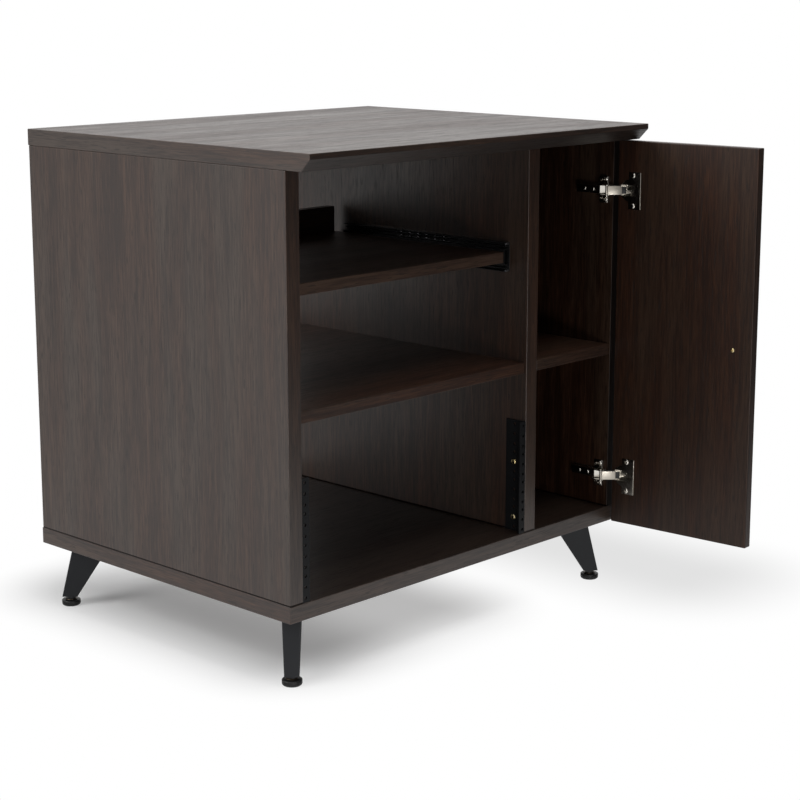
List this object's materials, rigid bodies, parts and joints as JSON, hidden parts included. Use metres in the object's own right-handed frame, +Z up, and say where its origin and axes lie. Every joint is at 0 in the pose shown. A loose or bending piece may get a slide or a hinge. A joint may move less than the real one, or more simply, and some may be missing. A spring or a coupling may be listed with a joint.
{
  "type": "rack cabinet",
  "caption": "Equipment cabinet on splayed legs: rack bay with rails, pull-out shelf on ball runners, shelved side bay behind a hinged door.",
  "frame": {"origin": "on the floor, under the middle of the box around the cabinet with its door open as at rest", "axes": "+X to the right seen from the front, +Y from the front to the back, +Z up"},
  "size_m": [0.7712, 0.8222, 0.7523],
  "materials": {
    "dark_laminate": "satin dark brown laminate with a fine straight grain",
    "black_powder_coat": "black powder coat",
    "runner_black": "black electroplated sheet steel",
    "foot_plastic": "black moulded plastic",
    "knob_metal": "satin nickel",
    "yellow_zinc": "yellow zinc plate",
    "beech": "plain beech dowel",
    "nickel": "bright nickel plate",
    "plain_zinc": "bright zinc plate"
  },
  "bodies": {
    "carcass": {"back_left_leg": "black_powder_coat", "back_panel": "dark_laminate", "back_right_leg": "black_powder_coat", "bottom_panel": "dark_laminate", "carcass_screws": "plain_zinc", "divider_panel": "dark_laminate", "fixed_shelf": "dark_laminate", "front_left_leg": "black_powder_coat", "front_right_leg": "black_powder_coat", "hinge_arm_screws": "nickel", "hinge_link_pins": "nickel", "hinge_plate_screws": "nickel", "left_rack_rail": "black_powder_coat", "left_runner_outer": "runner_black", "left_side_panel": "dark_laminate", "leg_screws": "plain_zinc", "loose_shelf": "dark_laminate", "lower_hinge_arm": "nickel", "lower_hinge_plate": "nickel", "panel_dowels": "beech", "rail_screws": "yellow_zinc", "right_rack_rail": "black_powder_coat", "right_runner_outer": "runner_black", "right_side_panel": "dark_laminate", "runner_case_screws": "plain_zinc", "shelf_pins": "plain_zinc", "top_panel": "dark_laminate", "upper_hinge_arm": "nickel", "upper_hinge_plate": "nickel"},
    "door": {"door_panel": "dark_laminate", "door_knob": "knob_metal", "knob_screw": "yellow_zinc", "hinge_cup_screws": "nickel", "lower_hinge_cup": "nickel", "upper_hinge_cup": "nickel"},
    "pull_out_shelf": {"pull_out_shelf": "dark_laminate", "shelf_stop_board": "dark_laminate", "stop_board_screws": "plain_zinc", "runner_shelf_screws": "plain_zinc", "left_runner_inner": "runner_black", "right_runner_inner": "runner_black"},
    "upper_hinge_link": {"upper_hinge_link": "nickel"},
    "lower_hinge_link": {"lower_hinge_link": "nickel"},
    "left_runner_middle": {"left_runner_middle": "runner_black"},
    "left_outer_ball_cage": {"left_outer_ball_cage": "plain_zinc", "left_outer_balls": "plain_zinc"},
    "left_inner_ball_cage": {"left_inner_ball_cage": "plain_zinc", "left_inner_balls": "plain_zinc"},
    "right_runner_middle": {"right_runner_middle": "runner_black"},
    "right_outer_ball_cage": {"right_outer_ball_cage": "plain_zinc", "right_outer_balls": "plain_zinc"},
    "right_inner_ball_cage": {"right_inner_ball_cage": "plain_zinc", "right_inner_balls": "plain_zinc"},
    "front_left_foot": {"front_left_foot": "foot_plastic"},
    "front_right_foot": {"front_right_foot": "foot_plastic"},
    "back_right_foot": {"back_right_foot": "foot_plastic"},
    "back_left_foot": {"back_left_foot": "foot_plastic"}
  },
  "joints": [
    {"name": "door_swing", "type": "hinge", "parent": "carcass", "child": "door", "pos_m": [0.33869, -0.17089, 0.41405], "axis": [0, 0, 1], "range_deg": [-94.3, 15.7]},
    {"name": "shelf_slide", "type": "slide", "parent": "carcass", "child": "pull_out_shelf", "axis": [0, -1, 0], "range_m": [0, 0.35]},
    {"name": "front_left_foot_adjust", "type": "slide", "parent": "carcass", "child": "front_left_foot", "axis": [0, 0, -1], "range_m": [0, 0.012]},
    {"name": "front_right_foot_adjust", "type": "slide", "parent": "carcass", "child": "front_right_foot", "axis": [0, 0, -1], "range_m": [0, 0.012]},
    {"name": "back_right_foot_adjust", "type": "slide", "parent": "carcass", "child": "back_right_foot", "axis": [0, 0, -1], "range_m": [0, 0.012]},
    {"name": "back_left_foot_adjust", "type": "slide", "parent": "carcass", "child": "back_left_foot", "axis": [0, 0, -1], "range_m": [0, 0.012]},
    {"name": "upper_hinge_link_turn", "type": "hinge", "parent": "carcass", "child": "upper_hinge_link", "pos_m": [0.30839, -0.15689, 0.6469], "axis": [0, 0, 1], "range_deg": [-3.3, 19.1]},
    {"name": "lower_hinge_link_turn", "type": "hinge", "parent": "carcass", "child": "lower_hinge_link", "pos_m": [0.30839, -0.15689, 0.1823], "axis": [0, 0, 1], "range_deg": [-3.3, 19.1]},
    {"name": "left_runner_middle_slide", "type": "slide", "parent": "carcass", "child": "left_runner_middle", "axis": [0, -1, 0], "range_m": [0, 0.175]},
    {"name": "left_outer_ball_cage_slide", "type": "slide", "parent": "carcass", "child": "left_outer_ball_cage", "axis": [0, -1, 0], "range_m": [0, 0.0875]},
    {"name": "left_inner_ball_cage_slide", "type": "slide", "parent": "carcass", "child": "left_inner_ball_cage", "axis": [0, -1, 0], "range_m": [0, 0.2625]},
    {"name": "right_runner_middle_slide", "type": "slide", "parent": "carcass", "child": "right_runner_middle", "axis": [0, -1, 0], "range_m": [0, 0.175]},
    {"name": "right_outer_ball_cage_slide", "type": "slide", "parent": "carcass", "child": "right_outer_ball_cage", "axis": [0, -1, 0], "range_m": [0, 0.0875]},
    {"name": "right_inner_ball_cage_slide", "type": "slide", "parent": "carcass", "child": "right_inner_ball_cage", "axis": [0, -1, 0], "range_m": [0, 0.2625]}
  ],
  "couplings": [
    {"joint": "upper_hinge_link_turn", "follows": "door_swing", "ratio": -0.20148},
    {"joint": "lower_hinge_link_turn", "follows": "door_swing", "ratio": -0.20148},
    {"joint": "left_runner_middle_slide", "follows": "shelf_slide", "ratio": 0.5},
    {"joint": "left_outer_ball_cage_slide", "follows": "shelf_slide", "ratio": 0.25},
    {"joint": "left_inner_ball_cage_slide", "follows": "shelf_slide", "ratio": 0.75},
    {"joint": "right_runner_middle_slide", "follows": "shelf_slide", "ratio": 0.5},
    {"joint": "right_outer_ball_cage_slide", "follows": "shelf_slide", "ratio": 0.25},
    {"joint": "right_inner_ball_cage_slide", "follows": "shelf_slide", "ratio": 0.75}
  ]
}
